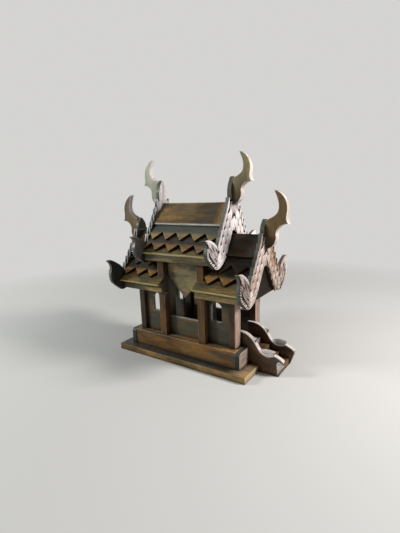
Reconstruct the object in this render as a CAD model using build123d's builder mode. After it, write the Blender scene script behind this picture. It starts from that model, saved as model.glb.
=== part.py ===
from build123d import *
import os
from collections import namedtuple
from math import copysign, cos, hypot, radians, sin, tan

# A wooden spirit house: a plinth, three bays under two wing roofs and a taller middle roof, and a
# stair at one end. +X runs along the house to the stair, the front looks to -Y and +Z is up. The
# origin is on the underside of the base board, in the middle of it. Every length is in millimetres.

# Posts: outer faces, measured from the middle of the house
corner_post_outer_x = 169.0
mid_post_outer_x = 79.0
mid_post_outer_y = 88.0
corner_post_inset = 10.0
corner_post_width = 20.0
corner_post_depth = 32.0
mid_post_width = 21.0
mid_post_depth = 29.0
inner_bracket_reach = 14.0
outer_bracket_reach = 6.0
bracket_drop = 26.0
bracket_thick = 10.0
bracket_root = 1.0

# Base board and plinth
plinth_ledge_x = 22.0
plinth_ledge_y = 9.5
plinth_height = 46.0
plinth_board = 14.0
plinth_setback = 3.0
end_board_round = 9.0
floor_thick = 12.0
base_ledge_x = 29.0
base_ledge_y = 27.5
base_thick = 19.0
base_edge_round = 2.0

# Walls between the posts
wall_thick = 10.0
wall_inset = 11.0
window_width = 34.0
window_sill_z = 129.0
window_top_z = 184.0
window_offset = 26.0
low_panel_top_z = 120.0
valance_side_z = 247.0
valance_tip_z = 182.0
valance_top_z = 312.0
cross_wall_thick = 12.0
doorway_width = 50.0
doorway_top_z = 200.0

# Roof boards, from the eave up: eave board, lower and upper toothed boards, ridge board
board_thick = 6.0
ridge_board_thick = 6.5
eave_pitch = 34.0
lower_teeth_pitch = 42.0
upper_teeth_pitch = 45.0
ridge_pitch = 48.0
teeth_step = 22.0
ridge_step = 31.0
board_cover = 12.0
tooth_pitch = 49.0
tooth_depth = 27.0
main_first_tip = 1.0
wing_first_tip = 149.0
seat_gap = 0.1
main_eave_reach = 18.0
main_eave_z = 314.0
main_eave_margin = 1.0
wing_eave_reach = 28.0
wing_eave_z = 225.0
wing_eave_margin = 15.0
main_gable_reach = 37.0
wing_gable_reach = 41.0
pediment_thick = 10.0
beam_thick = 13.0
main_beam_bottom_z = 290.0
wing_beam_bottom_z = 198.0

# Bargeboards: hook sizes are measured from the nose of the eave board
barge_thick = 13.0
main_crest = 50.0
wing_crest = 36.0
main_hook_rise = 46.0
wing_hook_rise = 62.0
hook_reach = 40.0
hook_drop = 34.0
notch_in = 20.0
notch_up = 30.0
elbow_in = 62.0
elbow_down = 2.0
flame_count = 6
flame_reach = 7.0
seat_half_width = 25.0

# Leaves and horns on the gables
leaf_half_width = 18.0
main_leaf_height = 62.0
wing_leaf_height = 42.0
main_horn_height = 133.0
wing_horn_height = 148.0
main_horn_hang = 11.0
wing_horn_hang = 35.0
horn_thick = 20.0
horn_tip_thick = 10.0

# Stair: the stringers' sizes are measured from the plinth's end and from the floor
stringer_thick = 11.0
stair_half_width = 45.0
stair_run = 86.0
step_count = 3
step_cover = 10.0
rail_height = 41.0
spur_out = 19.0
spur_height = 25.0
petal_start = 31.0
petal_end = 66.0
petal_drop = 3.5
toe_out = 100.0
toe_drop = 28.0

corner_post_outer_y = mid_post_outer_y - corner_post_inset
corner_post_inner_x = corner_post_outer_x - corner_post_width
mid_post_inner_x = mid_post_outer_x - mid_post_width
wall_outer_y = corner_post_outer_y - wall_inset
wall_inner_y = wall_outer_y - wall_thick
plinth_end_x = corner_post_outer_x + plinth_ledge_x
plinth_side_y = mid_post_outer_y + plinth_ledge_y
base_end_x = plinth_end_x + base_ledge_x
floor_z = base_thick + plinth_height
main_gable_x = mid_post_outer_x + main_gable_reach
wing_gable_x = corner_post_outer_x + wing_gable_reach

os.makedirs("parts", exist_ok=True)

Board = namedtuple("Board", "nose_y nose_z pitch thick heel_y")


def board_top(board, y):
    """Height of a board's upper face at the distance y from the ridge line."""
    return board.nose_z + (board.nose_y - y) * tan(radians(board.pitch))


def board_bottom(board, y):
    """Height of a board's lower face at the distance y from the ridge line."""
    return board_top(board, y) - board.thick / cos(radians(board.pitch))


def resting_board(below, nose_y, pitch, thick, heel_y):
    """A board whose nose rests on the board below it."""
    nose_z = board_top(below, nose_y) + thick / cos(radians(pitch)) + seat_gap
    return Board(nose_y, nose_z, pitch, thick, heel_y)


def slope_boards(eave_y, eave_z, margin):
    """The four boards of one roof slope, from the eave up to the ridge."""
    lower_y = eave_y - margin
    upper_y = lower_y - teeth_step
    ridge_y = upper_y - ridge_step
    lower_valley_y = lower_y - tooth_depth * cos(radians(lower_teeth_pitch))
    upper_valley_y = upper_y - tooth_depth * cos(radians(upper_teeth_pitch))
    eave = Board(eave_y, eave_z, eave_pitch, board_thick, lower_valley_y - board_cover)
    lower = resting_board(eave, lower_y, lower_teeth_pitch, board_thick, upper_valley_y - board_cover)
    upper = resting_board(lower, upper_y, upper_teeth_pitch, board_thick, ridge_y - board_cover)
    ridge = resting_board(upper, ridge_y, ridge_pitch, ridge_board_thick, 0.0)
    return [eave, lower, upper, ridge]


def support_line(boards):
    """Corner points of the line that carries the boards at their heels, from the ridge outwards."""
    eave, lower, upper, ridge = boards
    points = [(0.0, board_bottom(ridge, 0.0) - seat_gap)]
    for board in (upper, lower, eave):
        y = board.heel_y - board.thick * sin(radians(board.pitch))
        points.append((y, board_bottom(board, y) - seat_gap))
    points.append((eave.nose_y, board_bottom(eave, eave.nose_y) - seat_gap))
    return points


def line_height(points, y):
    """Height of a line of points, listed outwards, at the distance y."""
    for (y0, z0), (y1, z1) in zip(points, points[1:]):
        if y0 <= y <= y1:
            return z0 + (z1 - z0) * (y - y0) / (y1 - y0)
    raise ValueError("the roof does not reach " + str(y))


def section_under(boards, bottom_z):
    """Section of everything up to the stepped upper surface of a roof, with the seat gap over it."""
    points = [(0.0, board_top(boards[3], 0) + seat_gap)]
    for board, below in zip(boards[::-1], boards[-2::-1]):
        edge_y = board.nose_y + seat_gap
        points.append((edge_y, board.nose_z + seat_gap))
        points.append((edge_y, board_top(below, edge_y) + seat_gap))
    eave = boards[0]
    points.append((eave.nose_y, eave.nose_z + seat_gap))
    return points + [(eave.nose_y, bottom_z), (0.0, bottom_z)]


main_boards = slope_boards(mid_post_outer_y + main_eave_reach, main_eave_z, main_eave_margin)
wing_boards = slope_boards(mid_post_outer_y + wing_eave_reach, wing_eave_z, wing_eave_margin)
main_line = support_line(main_boards)
wing_line = support_line(wing_boards)
main_ridge_z = board_top(main_boards[3], 0)
wing_ridge_z = board_top(wing_boards[3], 0)


def save(piece, name):
    """Label a finished piece and write it to its own file."""
    piece.part.label = name
    export_step(piece.part, "parts/" + name + ".step")


def profile_under(line, y0, y1, bottom_z):
    """Side outline of an upright board from y0 to y1 whose top follows the roof's support line."""
    inner = [(y0, line_height(line, y0))]
    between = [p for p in line if y0 < p[0] < y1]
    outer = [(y1, line_height(line, y1)), (y1, bottom_z), (y0, bottom_z)]
    return inner + between + outer


def mirrored(points, side):
    """The outline's points on the front side, -1, or on the back side, 1."""
    return [(side * y, z) for y, z in points]


# ---------------------------------------------------------------- base and plinth

def make_base():
    with BuildPart() as base_board:
        with BuildSketch(Plane.XY):
            Rectangle(2 * base_end_x, 2 * (plinth_side_y + base_ledge_y))
        extrude(amount=base_thick)
        fillet(base_board.edges().group_by(Axis.Z)[-1], base_edge_round)
    save(base_board, "base_board")


def make_plinth():
    inner_length = 2 * (plinth_end_x - plinth_board)
    front_y = plinth_side_y - plinth_setback
    for name, side in (("plinth_front", -1), ("plinth_back", 1)):
        with BuildPart() as long_board:
            with BuildSketch(Plane.XY.offset(base_thick)):
                with Locations((0, side * (front_y - plinth_board / 2))):
                    Rectangle(inner_length, plinth_board)
            extrude(amount=plinth_height)
        save(long_board, name)
    for name, side in (("plinth_end_left", -1), ("plinth_end_right", 1)):
        inner_x = side * (plinth_end_x - plinth_board)
        with BuildPart() as end_board:
            with BuildSketch(Plane.YZ.offset(inner_x)):
                with Locations((0, base_thick + plinth_height / 2)):
                    Rectangle(2 * plinth_side_y, plinth_height)
            extrude(amount=side * plinth_board)
            top_corners = end_board.edges().filter_by(Axis.X).group_by(Axis.Z)[-1]
            fillet(top_corners, end_board_round)
        save(end_board, name)
    with BuildPart() as floor_board:
        with BuildSketch(Plane.XY.offset(floor_z - floor_thick)):
            Rectangle(inner_length, 2 * (front_y - plinth_board))
        extrude(amount=floor_thick)
    save(floor_board, "floor_board")


# ---------------------------------------------------------------- posts and walls

def make_corner_posts():
    inner_y = corner_post_outer_y - corner_post_depth
    for name, side in (("corner_posts_front", -1), ("corner_posts_back", 1)):
        with BuildPart() as corner_posts:
            with BuildSketch(Plane.YZ.offset(corner_post_inner_x)):
                Polygon(*mirrored(profile_under(wing_line, inner_y, corner_post_outer_y, floor_z), side),
                        align=None)
            extrude(amount=corner_post_width)
            mirror(about=Plane.YZ)
        save(corner_posts, name)


def bracket_face(plane, edge_x, reach):
    """A bracket that curves from a post's edge out to the beam, towards the side that reach points."""
    root_x = edge_x - copysign(bracket_root, reach)
    foot_z = wing_beam_bottom_z - bracket_drop
    with BuildSketch(plane) as face:
        with BuildLine():
            Bezier((edge_x + reach, wing_beam_bottom_z), (edge_x, wing_beam_bottom_z), (edge_x, foot_z))
            Polyline((edge_x, foot_z), (root_x, foot_z), (root_x, wing_beam_bottom_z),
                     (edge_x + reach, wing_beam_bottom_z))
        make_face()
    return face.sketch


def make_mid_posts():
    inner_y = mid_post_outer_y - mid_post_depth
    for name, side in (("mid_posts_front", -1), ("mid_posts_back", 1)):
        with BuildPart() as mid_posts:
            with BuildSketch(Plane.YZ.offset(mid_post_inner_x)):
                Polygon(*mirrored(profile_under(main_line, inner_y, mid_post_outer_y, floor_z), side),
                        align=None)
            extrude(amount=mid_post_width)
            front = Plane.XZ.offset(-side * (mid_post_outer_y - bracket_thick / 2))
            edges = ((mid_post_inner_x, -inner_bracket_reach), (mid_post_outer_x, outer_bracket_reach))
            for edge_x, reach in edges:
                extrude(bracket_face(front, edge_x, reach), amount=bracket_thick / 2, both=True)
            mirror(about=Plane.YZ)
        save(mid_posts, name)


def make_window_walls():
    wall_length = corner_post_inner_x - mid_post_outer_x
    middle_x = (corner_post_inner_x + mid_post_outer_x) / 2
    window_x = mid_post_outer_x + window_offset
    arch_radius = window_width / 2
    for row, side in (("front", -1), ("back", 1)):
        for end, hand in (("left", -1), ("right", 1)):
            with BuildPart() as window_wall:
                outline = mirrored(profile_under(wing_line, wall_inner_y, wall_outer_y, floor_z), side)
                with BuildSketch(Plane.YZ.offset(hand * middle_x)):
                    Polygon(*outline, align=None)
                extrude(amount=wall_length / 2, both=True)
                with BuildSketch(Plane.XZ.offset(-side * (wall_outer_y + wall_inner_y) / 2)):
                    with Locations((hand * window_x, window_top_z - arch_radius)):
                        Circle(arch_radius)
                    straight = window_top_z - arch_radius - window_sill_z
                    with Locations((hand * window_x, window_sill_z + straight / 2)):
                        Rectangle(window_width, straight)
                extrude(amount=wall_thick, both=True, mode=Mode.SUBTRACT)
            save(window_wall, "window_wall_" + row + "_" + end)


def make_centre_panels():
    span = 2 * mid_post_inner_x
    middle_y = (wall_outer_y + wall_inner_y) / 2
    for row, side in (("front", -1), ("back", 1)):
        with BuildPart() as low_panel:
            with BuildSketch(Plane.XY.offset(floor_z)):
                with Locations((0, side * middle_y)):
                    Rectangle(span, wall_thick)
            extrude(amount=low_panel_top_z - floor_z)
        save(low_panel, "low_panel_" + row)
        with BuildPart() as valance:
            with BuildSketch(Plane.XZ.offset(-side * middle_y)):
                Polygon((-span / 2, valance_top_z), (-span / 2, valance_side_z), (0, valance_tip_z),
                        (span / 2, valance_side_z), (span / 2, valance_top_z), align=None)
            extrude(amount=wall_thick / 2, both=True)
        save(valance, "valance_" + row)


def make_cross_walls():
    """The walls between the middle bay and the wings, each with a doorway."""
    half = mid_post_outer_y - mid_post_depth
    inner_x = mid_post_outer_x - cross_wall_thick
    roof = profile_under(main_line, 0.0, half, floor_z)
    for name, hand in (("cross_wall_left", -1), ("cross_wall_right", 1)):
        with BuildPart() as cross_wall:
            with BuildSketch(Plane.YZ.offset(hand * inner_x)):
                Polygon(*roof, align=None)
                mirror(about=Plane.YZ)
                with Locations((0, (floor_z + doorway_top_z) / 2)):
                    Rectangle(doorway_width, doorway_top_z - floor_z, mode=Mode.SUBTRACT)
            extrude(amount=hand * cross_wall_thick)
        save(cross_wall, name)


# ---------------------------------------------------------------- roofs

def tooth_height(x, tip):
    """Height of the zigzag edge at x, where tip is the place of one tooth's point."""
    offset = (x - tip) % tooth_pitch
    return tooth_depth * (1 - abs(2 * offset / tooth_pitch - 1))


def toothed_outline(x0, x1, length, tip):
    """Outline of a board whose lower edge is cut into pointed teeth, from x0 to x1."""
    half = tooth_pitch / 2
    corners = [tip + k * half for k in range(-20, 21) if x0 < tip + k * half < x1]
    xs = [x1] + corners[::-1] + [x0]
    return [(x0, length), (x1, length)] + [(x, tooth_height(x, tip)) for x in xs]


def slope_plane(board):
    """A plane on a front board's upper face, with its origin on the nose and +Y up the slope."""
    pitch = radians(board.pitch)
    return Plane(origin=(0, -board.nose_y, board.nose_z), x_dir=(1, 0, 0), z_dir=(0, -sin(pitch), cos(pitch)))


def board_length(board):
    """Length of a board along the slope."""
    return (board.nose_y - board.heel_y) / cos(radians(board.pitch))


def lay_board(board, x0, x1, tip=None):
    """Add one front board to the current part, toothed where tip is given."""
    length = board_length(board)
    plain = [(x0, 0), (x0, length), (x1, length), (x1, 0)]
    with BuildSketch(slope_plane(board)) as face:
        Polygon(*(plain if tip is None else toothed_outline(x0, x1, length, tip)), align=None)
    extrude(face.sketch, amount=-board.thick)


def ridge_board_outline(board, side):
    """Section of a ridge board, cut upright where it meets the one of the other slope."""
    pitch = radians(board.pitch)
    under = (board.nose_y - board.thick * sin(pitch), board.nose_z - board.thick * cos(pitch))
    points = [(board.nose_y, board.nose_z), (0, board_top(board, 0)), (0, board_bottom(board, 0)), under]
    return [(side * y, z) for y, z in points]


def make_main_roof():
    eave, lower, upper, ridge = main_boards
    reach = main_gable_x
    rows = (("main_eave_boards", eave, None),
            ("main_lower_teeth", lower, main_first_tip + tooth_pitch / 2),
            ("main_upper_teeth", upper, main_first_tip))
    for name, board, tip in rows:
        with BuildPart() as slope:
            lay_board(board, -reach, reach, tip)
            mirror(about=Plane.XZ)
        save(slope, name)
    for name, side in (("main_ridge_board_front", -1), ("main_ridge_board_back", 1)):
        with BuildPart() as ridge_board:
            with BuildSketch(Plane.YZ):
                Polygon(*ridge_board_outline(ridge, side), align=None)
            extrude(amount=reach, both=True)
        save(ridge_board, name)


def make_wing_roofs():
    eave, lower, upper, ridge = wing_boards
    inner = mid_post_outer_x
    outer = wing_gable_x
    rows = (("wing_lower_teeth", lower, wing_first_tip),
            ("wing_upper_teeth", upper, wing_first_tip + tooth_pitch / 2))
    for name, board, row_tip in rows:
        with BuildPart() as slope:
            lay_board(board, inner, outer, row_tip)
            mirror(about=Plane.XZ)
            mirror(about=Plane.YZ)
        save(slope, name)
    with BuildPart() as eave_boards:
        lay_board(eave, mid_post_inner_x, outer)
        with BuildSketch(Plane.XY.offset(floor_z)):
            with Locations(((mid_post_inner_x + inner) / 2, 0)):
                Rectangle(mid_post_width, 2 * mid_post_outer_y)
        extrude(amount=wing_ridge_z, mode=Mode.SUBTRACT)
        mirror(about=Plane.XZ)
        mirror(about=Plane.YZ)
    save(eave_boards, "wing_eave_boards")
    for name, side in (("wing_ridge_boards_front", -1), ("wing_ridge_boards_back", 1)):
        with BuildPart() as ridge_board:
            with BuildSketch(Plane.YZ.offset(inner)):
                Polygon(*ridge_board_outline(ridge, side), align=None)
            extrude(amount=outer - inner)
            mirror(about=Plane.YZ)
        save(ridge_board, name)


def make_eave_beams():
    front = mid_post_outer_y + beam_thick
    main_top = board_bottom(main_boards[0], front) - seat_gap
    wing_top = board_bottom(wing_boards[0], front) - seat_gap
    with BuildPart() as main_beams:
        with BuildSketch(Plane.XY.offset(main_beam_bottom_z)):
            with Locations((0, mid_post_outer_y + beam_thick / 2)):
                Rectangle(2 * main_gable_x, beam_thick)
        extrude(amount=main_top - main_beam_bottom_z)
        mirror(about=Plane.XZ)
    save(main_beams, "main_eave_beams")
    for name, side in (("wing_eave_beams_front", -1), ("wing_eave_beams_back", 1)):
        with BuildPart() as wing_beams:
            with BuildSketch(Plane.XY.offset(wing_beam_bottom_z)):
                middle_x = (wing_gable_x + mid_post_inner_x) / 2
                with Locations((middle_x, side * (mid_post_outer_y + beam_thick / 2))):
                    Rectangle(wing_gable_x - mid_post_inner_x, beam_thick)
            extrude(amount=wing_top - wing_beam_bottom_z)
            mirror(about=Plane.YZ)
        save(wing_beams, name)


# ---------------------------------------------------------------- gables

def make_pediments():
    """The panels that close the roof ends, just behind the bargeboards."""
    with BuildPart() as wing_pediments:
        with BuildSketch(Plane.YZ.offset(wing_gable_x - pediment_thick)):
            Polygon(*profile_under(wing_line, 0.0, mid_post_outer_y, wing_beam_bottom_z), align=None)
            mirror(about=Plane.YZ)
        extrude(amount=pediment_thick)
        mirror(about=Plane.YZ)
    save(wing_pediments, "wing_pediments")
    with BuildPart() as main_pediments:
        with BuildSketch(Plane.YZ.offset(main_gable_x - pediment_thick)):
            Polygon(*profile_under(main_line, 0.0, mid_post_outer_y, main_beam_bottom_z), align=None)
            Polygon(*section_under(wing_boards, wing_beam_bottom_z), align=None, mode=Mode.SUBTRACT)
            mirror(about=Plane.YZ)
        extrude(amount=pediment_thick)
        mirror(about=Plane.YZ)
    save(main_pediments, "main_pediments")


def flame_edge(top, bottom):
    """Corners of a leg's outer edge from its top to its bottom, with flames that point up and out."""
    run_y, run_z = bottom[0] - top[0], bottom[1] - top[1]
    length = hypot(run_y, run_z)
    out_y, out_z = -run_z / length * flame_reach, run_y / length * flame_reach
    corners = []
    for k in range(flame_count):
        root = (top[0] + run_y * k / flame_count, top[1] + run_z * k / flame_count)
        corners += [root, (root[0] + out_y, root[1] + out_z)]
    return corners + [bottom]


def leg_slope(eave, peak_z):
    """Rise of a bargeboard's leg for each millimetre inwards, from the notch to the peak."""
    return (peak_z - eave.nose_z - notch_up) / (eave.nose_y - notch_in)


def barge_face(plane, eave, slope, seat_z, hook_rise):
    """A bargeboard's face: two straight legs, and the hooks that curl up past the eaves."""
    def hook(y, z):
        return (eave.nose_y + y, eave.nose_z + z)

    seat = (seat_half_width, seat_z)
    notch = hook(-notch_in, notch_up)
    elbow = hook(-elbow_in, -elbow_down)
    bottom = hook(-0.2 * hook_reach, -hook_drop)
    inner_peak = (0, elbow[1] + slope * elbow[0])
    with BuildSketch(plane) as face:
        with BuildLine():
            Polyline(inner_peak, (0, seat_z), *flame_edge(seat, notch))
            Spline(notch, hook(-0.15 * hook_reach, 0.88 * hook_rise),
                   hook(0.35 * hook_reach, 1.02 * hook_rise), hook(0.85 * hook_reach, 0.97 * hook_rise),
                   hook(hook_reach, 0.6 * hook_rise), hook(0.83 * hook_reach, 0),
                   hook(0.5 * hook_reach, -0.55 * hook_drop), bottom)
            Spline(bottom, hook(-0.6 * elbow_in, -0.62 * hook_drop), elbow)
            Line(elbow, inner_peak)
        make_face()
        mirror(about=Plane.YZ)
    return face.sketch


def make_leaves(roof, inner_x, seat_z, height):
    """The upright leaves on the bargeboards' tops, behind the horns."""
    shoulder_z = seat_z + 0.35 * height
    tip = (0, seat_z + height)
    with BuildPart() as leaves:
        with BuildSketch(Plane.YZ.offset(inner_x)):
            with BuildLine():
                Polyline(tip, (0, seat_z), (leaf_half_width, seat_z), (leaf_half_width, shoulder_z))
                Spline((leaf_half_width, shoulder_z), (0.75 * leaf_half_width, seat_z + 0.72 * height), tip)
            make_face()
            mirror(about=Plane.YZ)
        extrude(amount=barge_thick)
        mirror(about=Plane.YZ)
    save(leaves, roof + "_gable_leaves")


def make_horns(roof, face_x, foot_z, height):
    """The horn finials on the bargeboards' outer faces: a stem, a beak and a crescent.

    The outline's points are shares of the horn's height.
    """
    def at(x, z):
        return (face_x + x * height, foot_z + z * height)

    foot, back, tip, beak = at(0, 0), at(0, 0.5), at(0.135, 1), at(0.4, 0.44)
    chest, throat = at(0.19, 0.22), at(0.22, 0.37)
    taper_z = back[1]
    with BuildPart() as horns:
        with BuildSketch(Plane.XZ):
            with BuildLine():
                Spline(tip, at(0.25, 0.945), at(0.34, 0.835), at(0.376, 0.685), at(0.365, 0.555), beak)
                Spline(beak, at(0.285, 0.42), throat, chest)
                Spline(chest, at(0.15, 0.09), foot)
                Line(foot, back)
                Spline(back, at(0.105, 0.55), at(0.2, 0.625), at(0.225, 0.73), at(0.19, 0.88), tip)
            make_face()
        extrude(amount=horn_thick / 2, both=True)
        with BuildSketch(Plane.YZ.offset(face_x)):
            with BuildLine():
                Polyline((0, foot_z), (horn_thick / 2, foot_z), (horn_thick / 2, taper_z),
                         (horn_tip_thick / 2, tip[1]), (0, tip[1]), (0, foot_z))
            make_face()
            mirror(about=Plane.YZ)
        extrude(amount=beak[0] - face_x + 1, mode=Mode.INTERSECT)
        mirror(about=Plane.YZ)
    save(horns, roof + "_chofas")


def make_gables():
    gables = (("main", main_boards, main_ridge_z + main_crest, main_hook_rise, main_gable_x,
               main_leaf_height, main_horn_height, main_horn_hang),
              ("wing", wing_boards, wing_ridge_z + wing_crest, wing_hook_rise, wing_gable_x,
               wing_leaf_height, wing_horn_height, wing_horn_hang))
    for roof, boards, peak_z, hook_rise, inner_x, leaf_height, horn_height, horn_hang in gables:
        slope = leg_slope(boards[0], peak_z)
        seat_z = peak_z - slope * seat_half_width
        for end, hand in (("left", -1), ("right", 1)):
            plane = Plane.YZ.offset(hand * inner_x)
            with BuildPart() as bargeboard:
                extrude(barge_face(plane, boards[0], slope, seat_z, hook_rise), amount=hand * barge_thick)
                if roof == "main":
                    with BuildSketch(plane):
                        Polygon(*section_under(wing_boards, wing_beam_bottom_z), align=None)
                        mirror(about=Plane.YZ)
                    extrude(amount=hand * barge_thick, mode=Mode.SUBTRACT)
            save(bargeboard, roof + "_bargeboard_" + end)
        make_leaves(roof, inner_x, seat_z, leaf_height)
        make_horns(roof, inner_x + barge_thick, seat_z - horn_hang, horn_height)


# ---------------------------------------------------------------- stair

def make_stair():
    def at(out, up):
        return (plinth_end_x + out, floor_z + up)

    foot_x = plinth_end_x + stair_run
    rail_end = at(-plinth_ledge_x - 3, rail_height)
    spur_foot, spur_tip = at(spur_out - 8, spur_height - 6), at(spur_out, spur_height)
    spur_back = at(spur_out + 3, spur_height - 14)
    petal_back, petal_front = at(petal_start, -petal_drop), at(petal_end, -petal_drop + 1)
    toe = at(toe_out, -toe_drop)
    with BuildPart() as stringers:
        with BuildSketch(Plane.XZ.offset(stair_half_width - stringer_thick)):
            with BuildLine():
                Line((corner_post_inner_x, rail_end[1]), rail_end)
                Spline(rail_end, at(-10, 0.78 * rail_height), spur_foot)
                Polyline(spur_foot, spur_tip, spur_back)
                Spline(spur_back, at(27, 2), petal_back)
                Polyline(petal_back, petal_front, at(petal_end + 2, -petal_drop - 7))
                Spline(at(petal_end + 2, -petal_drop - 7), at(86, -16), toe)
                Polyline(toe, (foot_x, 0), (base_end_x, 0), (base_end_x, base_thick),
                         (plinth_end_x, base_thick), (plinth_end_x, floor_z), (corner_post_inner_x, floor_z),
                         (corner_post_inner_x, rail_end[1]))
            make_face()
        extrude(amount=stringer_thick)
        mirror(about=Plane.XZ)
    save(stringers, "stair_stringers")
    rise = plinth_height / step_count
    run = stair_run / step_count
    width = 2 * (stair_half_width - stringer_thick)
    with BuildPart() as steps:
        for k in range(1, step_count + 1):
            back_x = plinth_end_x + (k - 1) * run - (step_cover if k > 1 else 0)
            front_x = plinth_end_x + k * run
            bottom_z = floor_z - (k + 1) * rise + seat_gap if k < step_count else 0
            with BuildSketch(Plane.XY.offset(bottom_z)):
                with Locations(((back_x + front_x) / 2, 0)):
                    Rectangle(front_x - back_x, width)
            extrude(amount=floor_z - k * rise - bottom_z)
    save(steps, "stair_treads")


make_base()
make_plinth()
make_corner_posts()
make_mid_posts()
make_window_walls()
make_centre_panels()
make_cross_walls()
make_main_roof()
make_wing_roofs()
make_eave_beams()
make_pediments()
make_gables()
make_stair()
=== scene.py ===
import math
import random

import bmesh
import bpy
from mathutils import Matrix, Vector


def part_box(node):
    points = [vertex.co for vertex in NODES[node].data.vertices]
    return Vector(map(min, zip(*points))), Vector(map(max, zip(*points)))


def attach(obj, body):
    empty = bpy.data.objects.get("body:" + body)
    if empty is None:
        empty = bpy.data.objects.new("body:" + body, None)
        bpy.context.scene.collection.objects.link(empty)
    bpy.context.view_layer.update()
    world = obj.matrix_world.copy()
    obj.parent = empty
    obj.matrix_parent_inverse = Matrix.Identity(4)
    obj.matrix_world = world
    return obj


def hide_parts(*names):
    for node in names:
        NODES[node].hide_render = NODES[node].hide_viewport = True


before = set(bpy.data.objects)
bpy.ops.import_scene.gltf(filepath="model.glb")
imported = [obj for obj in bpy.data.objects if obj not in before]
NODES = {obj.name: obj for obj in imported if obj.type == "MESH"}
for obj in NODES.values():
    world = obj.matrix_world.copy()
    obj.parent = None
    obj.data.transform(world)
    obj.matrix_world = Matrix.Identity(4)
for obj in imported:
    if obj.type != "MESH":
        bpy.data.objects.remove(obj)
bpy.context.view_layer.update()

bl_info = {
    "name": "Carved Spirit House",
    "version": (1, 0, 0),
    "blender": (4, 5, 0),
    "location": "View3D > Sidebar > Spirit House",
    "description": "Dresses the boards of a wooden spirit house and carves its gables",
    "category": "Object",
}

MM = 0.001

# What counts as one point, one flat face, a sharp edge to round and an edge to shade smooth
MERGE_DISTANCE = 1e-6
FLAT_ANGLE = math.radians(0.5)
CORNER_ANGLE = math.radians(28)
SMOOTH_ANGLE = math.radians(35)


# ------------------------------------------------------------------ settings

class WoodSettings(bpy.types.PropertyGroup):
    board_arris: bpy.props.FloatProperty(
        name="Board arris", description="Radius of the worn edges of boards",
        default=1.0 * MM, min=0.0, unit="LENGTH")
    post_arris: bpy.props.FloatProperty(
        name="Post arris", description="Radius of the rounded edges of the posts",
        default=2.6 * MM, min=0.0, unit="LENGTH")
    horn_arris: bpy.props.FloatProperty(
        name="Horn arris", description="Radius of the rounded edges of horns and leaves",
        default=2.4 * MM, min=0.0, unit="LENGTH")
    dark_stain: bpy.props.FloatVectorProperty(
        name="Dark stain", description="Colour of the darkest grain",
        default=(0.016, 0.010, 0.006), subtype="COLOR")
    brown_stain: bpy.props.FloatVectorProperty(
        name="Brown stain", description="Main colour of the boards",
        default=(0.100, 0.054, 0.020), subtype="COLOR")
    golden_wood: bpy.props.FloatVectorProperty(
        name="Golden wood", description="Colour where the stain has worn thin",
        default=(0.40, 0.19, 0.045), subtype="COLOR")
    # The wax colours are dull wax together with a painted cool sheen
    wax_and_sheen: bpy.props.FloatVectorProperty(
        name="Wax and sheen", description="Colour of the dull wax and the painted cool sheen",
        default=(0.052, 0.070, 0.066), subtype="COLOR")
    side_wax_and_sheen: bpy.props.FloatVectorProperty(
        name="Side wax and sheen", description="Colour of the dull wax and the painted cool sheen on the sides of the carved boards",
        default=(0.060, 0.092, 0.098), subtype="COLOR")
    pale_carving: bpy.props.FloatVectorProperty(
        name="Pale carving", description="Colour of the rubbed high parts of the carving",
        default=(0.74, 0.69, 0.69), subtype="COLOR")
    finial_wood: bpy.props.FloatVectorProperty(
        name="Finial wood", description="Colour of the smooth horns and leaves",
        default=(0.37, 0.39, 0.31), subtype="COLOR")


class CarvingSettings(bpy.types.PropertyGroup):
    ground_depth: bpy.props.FloatProperty(
        name="Ground depth", description="How far the carved ground lies under the face",
        default=4.5 * MM, min=0.0, unit="LENGTH")
    flame_count: bpy.props.IntProperty(
        name="Flames on a leg", description="Number of pointed flames up each leg",
        default=6, min=1)
    flame_free: bpy.props.FloatProperty(
        name="Free flame", description="Height of a flame's tip over the valley beside it",
        default=16 * MM, min=0.0, unit="LENGTH")
    scale_width: bpy.props.FloatProperty(
        name="Scale width", description="Width of a carved scale",
        default=19 * MM, min=0.0, unit="LENGTH")
    scale_length: bpy.props.FloatProperty(
        name="Scale length", description="Length of a carved scale",
        default=38 * MM, min=0.0, unit="LENGTH")
    scale_pitch: bpy.props.FloatProperty(
        name="Scale pitch", description="Distance from scale to scale along a leg",
        default=23 * MM, min=1 * MM, unit="LENGTH")
    border_radius: bpy.props.FloatProperty(
        name="Border", description="Radius of the raised borders on the inner edges",
        default=2.4 * MM, min=0.0, unit="LENGTH")
    streak_count: bpy.props.IntProperty(
        name="Hook streaks", description="Number of flowing lines of streaks on each hook",
        default=10, min=2)


class StageSettings(bpy.types.PropertyGroup):
    floor_colour: bpy.props.FloatVectorProperty(
        name="Floor colour", description="Colour of the plain pale floor",
        default=(0.52, 0.515, 0.50), subtype="COLOR")
    backdrop_colour: bpy.props.FloatVectorProperty(
        name="Backdrop colour", description="Colour behind the object",
        default=(0.66, 0.655, 0.64), subtype="COLOR")
    key_power: bpy.props.FloatProperty(
        name="Key lamp", description="Power of the large lamp beside the stair",
        default=50.0, min=0.0, unit="POWER")
    fill_power: bpy.props.FloatProperty(
        name="Fill lamp", description="Power of the lamp at the front left",
        default=32.0, min=0.0, unit="POWER")
    top_power: bpy.props.FloatProperty(
        name="Top lamp", description="Power of the soft lamp overhead",
        default=2.0, min=0.0, unit="POWER")
    room_light: bpy.props.FloatProperty(
        name="Room light", description="Strength of the even light of the room",
        default=0.22, min=0.0)


# ------------------------------------------------------------------ materials

def add_node(tree, kind, links=None, **settings):
    """Add a shader node, with its settings and with values or sockets for its inputs."""
    made = tree.nodes.new(kind)
    for name, value in settings.items():
        setattr(made, name, value)
    for name, value in (links or {}).items():
        if isinstance(value, bpy.types.NodeSocket):
            tree.links.new(value, made.inputs[name])
        else:
            made.inputs[name].default_value = value
    return made


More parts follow.
